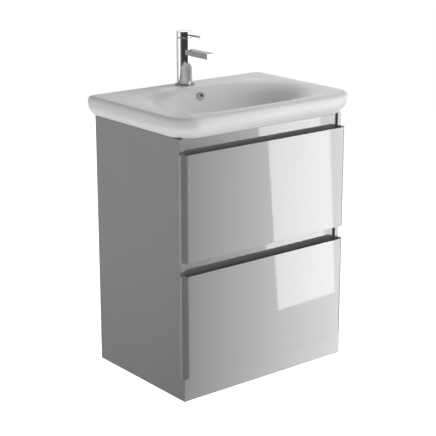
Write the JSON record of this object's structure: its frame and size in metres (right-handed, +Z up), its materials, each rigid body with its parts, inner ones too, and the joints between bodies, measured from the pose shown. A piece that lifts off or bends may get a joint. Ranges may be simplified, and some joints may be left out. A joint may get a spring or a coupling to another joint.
{
  "type": "bathroom vanity cabinet",
  "caption": "Floor-standing vanity cabinet with handleless gloss drawers, an inset-bowl ceramic basin on top and a single-lever mixer tap.",
  "frame": {"origin": "bottom centre of the object's box, on the floor", "axes": "+Z up, +Y towards the wall, drawers open along -Y"},
  "size_m": [0.654, 0.446, 0.982],
  "materials": {
    "lacquer": "high gloss light grey lacquer",
    "board": "white melamine-faced board",
    "ceramic": "white gloss glaze",
    "chrome": "polished",
    "steel": "zinc plated",
    "plastic": "moulded",
    "brass": "machined",
    "rubber": "matt",
    "timber": "plain beech"
  },
  "bodies": {
    "root": {"basin": "ceramic", "bottom_panel": "board", "left_middle_rail_dowel": "timber", "left_side_panel": "lacquer", "left_top_rail_dowel": "timber", "left_wall_bracket": "steel", "lower_back_rail": "board", "lower_left_runner_cabinet_member": "steel", "lower_right_runner_cabinet_member": "steel", "middle_front_rail": "lacquer", "overflow_ring": "chrome", "plinth_board": "lacquer", "right_middle_rail_dowel": "timber", "right_side_panel": "lacquer", "right_top_rail_dowel": "timber", "right_wall_bracket": "steel", "tap_aerator": "chrome", "tap_base_ring": "chrome", "tap_body": "chrome", "tap_cartridge": "plastic", "tap_fixing_nut": "brass", "tap_fixing_stud": "brass", "tap_fixing_washer": "steel", "tap_spout": "chrome", "top_front_rail": "lacquer", "trap_body": "chrome", "trap_cup": "chrome", "trap_outlet_nut": "chrome", "trap_outlet_pipe": "chrome", "upper_back_rail": "board", "upper_left_runner_cabinet_member": "steel", "upper_right_runner_cabinet_member": "steel", "wall_plate": "chrome", "waste_body": "chrome", "waste_nut": "brass", "waste_seal": "rubber"},
    "upper_drawer": {"siphon_recess": "plastic", "upper_drawer_bottom": "board", "upper_drawer_front": "lacquer", "upper_drawer_left_back": "board", "upper_drawer_left_side": "board", "upper_drawer_right_back": "board", "upper_drawer_right_side": "board", "upper_left_runner_drawer_member": "steel", "upper_right_runner_drawer_member": "steel"},
    "lower_drawer": {"lower_drawer_back": "board", "lower_drawer_bottom": "board", "lower_drawer_front": "lacquer", "lower_drawer_left_side": "board", "lower_drawer_right_side": "board", "lower_left_runner_drawer_member": "steel", "lower_right_runner_drawer_member": "steel"},
    "upper_runner_middle": {"upper_left_runner_middle_member": "steel", "upper_right_runner_middle_member": "steel"},
    "lower_runner_middle": {"lower_left_runner_middle_member": "steel", "lower_right_runner_middle_member": "steel"},
    "waste_plug": {"waste_plug": "chrome"},
    "tap_swivel": {"tap_stem": "brass"},
    "tap_head": {"tap_cap": "chrome", "tap_lever": "chrome"}
  },
  "joints": [
    {"name": "upper_drawer_slide", "type": "slide", "parent": "root", "child": "upper_drawer", "axis": [0, -1, 0], "range_m": [0, 0.3]},
    {"name": "upper_runner_slide", "type": "slide", "parent": "root", "child": "upper_runner_middle", "axis": [0, -1, 0], "range_m": [0, 0.15]},
    {"name": "lower_drawer_slide", "type": "slide", "parent": "root", "child": "lower_drawer", "axis": [0, -1, 0], "range_m": [0, 0.3]},
    {"name": "lower_runner_slide", "type": "slide", "parent": "root", "child": "lower_runner_middle", "axis": [0, -1, 0], "range_m": [0, 0.15]},
    {"name": "waste_plug_press", "type": "slide", "parent": "root", "child": "waste_plug", "axis": [0, 0, 1], "range_m": [-0.006, 0]},
    {"name": "tap_swivel", "type": "hinge", "parent": "root", "child": "tap_swivel", "pos_m": [0, 0.188, 0.9625], "axis": [0, 0, 1], "range_deg": [-45, 45]},
    {"name": "tap_lift", "type": "hinge", "parent": "tap_swivel", "child": "tap_head", "pos_m": [0, 0.2095, 0.9635], "axis": [-1, 0, 0], "range_deg": [0, 18]}
  ],
  "couplings": [
    {"joint": "upper_runner_slide", "follows": "upper_drawer_slide", "ratio": 0.5},
    {"joint": "lower_runner_slide", "follows": "lower_drawer_slide", "ratio": 0.5}
  ]
}
